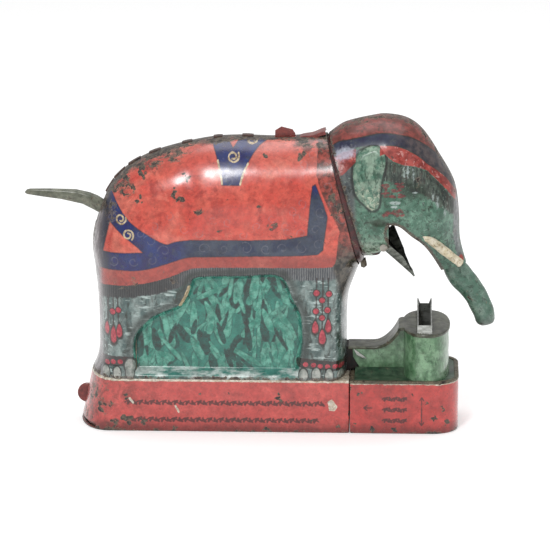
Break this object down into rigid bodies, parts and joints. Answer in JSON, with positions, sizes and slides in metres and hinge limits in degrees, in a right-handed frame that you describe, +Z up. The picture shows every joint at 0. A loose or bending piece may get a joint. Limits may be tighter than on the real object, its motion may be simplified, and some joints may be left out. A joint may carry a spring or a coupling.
{
  "type": "mechanical bank",
  "caption": "Tinplate mechanical bank: an elephant on a box lifts its head and shuts its jaw on a coin flicked up from a stump when its tail is pressed.",
  "frame": {"origin": "on the table under the middle of the whole length, in the plane of the seam", "axes": "+X the way the elephant faces, +Y to its left, +Z up"},
  "size_m": [0.1688, 0.038, 0.1128],
  "materials": {
    "litho_red": "gloss lithographed tinplate, worn",
    "litho_green": "gloss lithographed tinplate, worn",
    "stump_green": "gloss lithographed tinplate, mottled",
    "olive_grey": "worn satin lacquer",
    "maroon": "worn satin lacquer",
    "cream": "chipped lacquer",
    "bare_tin": "dull tinned steel with rust spots",
    "steel_pin": "drawn wire, dull"
  },
  "bodies": {
    "frame": {"right_body_shell": "litho_red", "left_body_shell": "litho_red", "base_shell": "litho_red", "slide_guides": "bare_tin", "front_base_shell": "litho_red", "front_base_top": "olive_grey", "stump_wall": "stump_green", "stump_cover": "olive_grey", "coin_chute": "bare_tin", "kicker_shaft": "steel_pin", "right_kicker_bracket": "bare_tin", "left_kicker_bracket": "bare_tin", "tail_shaft": "steel_pin", "right_tail_bracket": "bare_tin", "left_tail_bracket": "bare_tin", "bracket_stay": "steel_pin", "return_spring": "steel_pin", "neck_bracket": "maroon", "neck_pin": "steel_pin", "wire_pin": "steel_pin"},
    "tail": {"tail": "olive_grey", "tail_lever": "bare_tin", "rod_rivets": "steel_pin"},
    "head": {"right_head_shell": "litho_green", "left_head_shell": "litho_green", "neck_sleeve": "maroon", "head_hoop": "bare_tin", "lower_trunk": "litho_green", "right_tusk": "cream", "left_tusk": "cream", "jaw_pin": "steel_pin"},
    "jaw": {"jaw": "bare_tin"},
    "kicker": {"kicker_lever": "bare_tin"},
    "head_rod": {"head_rod": "bare_tin"},
    "kicker_rod": {"kicker_rod": "bare_tin"},
    "jaw_wire": {"jaw_wire": "steel_pin"},
    "slide": {"coin_slide": "maroon"}
  },
  "joints": [
    {"name": "tail_press", "type": "hinge", "parent": "frame", "child": "tail", "pos_m": [-0.046, 0, 0.072], "axis": [0, -1, 0], "range_deg": [0, 14], "stiffness_Nm_per_rad": 0.02, "springref_deg": -20.05, "deforming": ["return_spring"]},
    {"name": "head_lift", "type": "hinge", "parent": "frame", "child": "head", "pos_m": [0.0262, 0, 0.1018], "axis": [0, -1, 0], "range_deg": [0, 8.29]},
    {"name": "jaw_close", "type": "hinge", "parent": "head", "child": "jaw", "pos_m": [0.0446, 0, 0.0683], "axis": [0, -1, 0], "range_deg": [0, 36.08]},
    {"name": "kicker_swing", "type": "hinge", "parent": "frame", "child": "kicker", "pos_m": [0.0253, 0, 0.025], "axis": [0, -1, 0], "range_deg": [0, 14.92]},
    {"name": "head_rod_swing", "type": "hinge", "parent": "tail", "child": "head_rod", "pos_m": [-0.044, 0, 0.052], "axis": [0, -1, 0], "range_deg": [-14.13, 0]},
    {"name": "kicker_rod_swing", "type": "hinge", "parent": "tail", "child": "kicker_rod", "pos_m": [-0.044, 0, 0.06], "axis": [0, -1, 0], "range_deg": [-14.68, 0]},
    {"name": "jaw_wire_swing", "type": "hinge", "parent": "frame", "child": "jaw_wire", "pos_m": [0.02, 0, 0.074], "axis": [0, -1, 0], "range_deg": [0, 3.19]},
    {"name": "slide_pull", "type": "slide", "parent": "frame", "child": "slide", "axis": [-1, 0, 0], "range_m": [0, 0.045]}
  ],
  "couplings": [
    {"joint": "head_lift", "follows": "tail_press", "ratio": 0.5908},
    {"joint": "jaw_close", "follows": "tail_press", "ratio": 2.5759},
    {"joint": "kicker_swing", "follows": "tail_press", "ratio": 1.0642},
    {"joint": "head_rod_swing", "follows": "tail_press", "ratio": -1.0077},
    {"joint": "kicker_rod_swing", "follows": "tail_press", "ratio": -1.0473},
    {"joint": "jaw_wire_swing", "follows": "tail_press", "ratio": 0.2262}
  ]
}
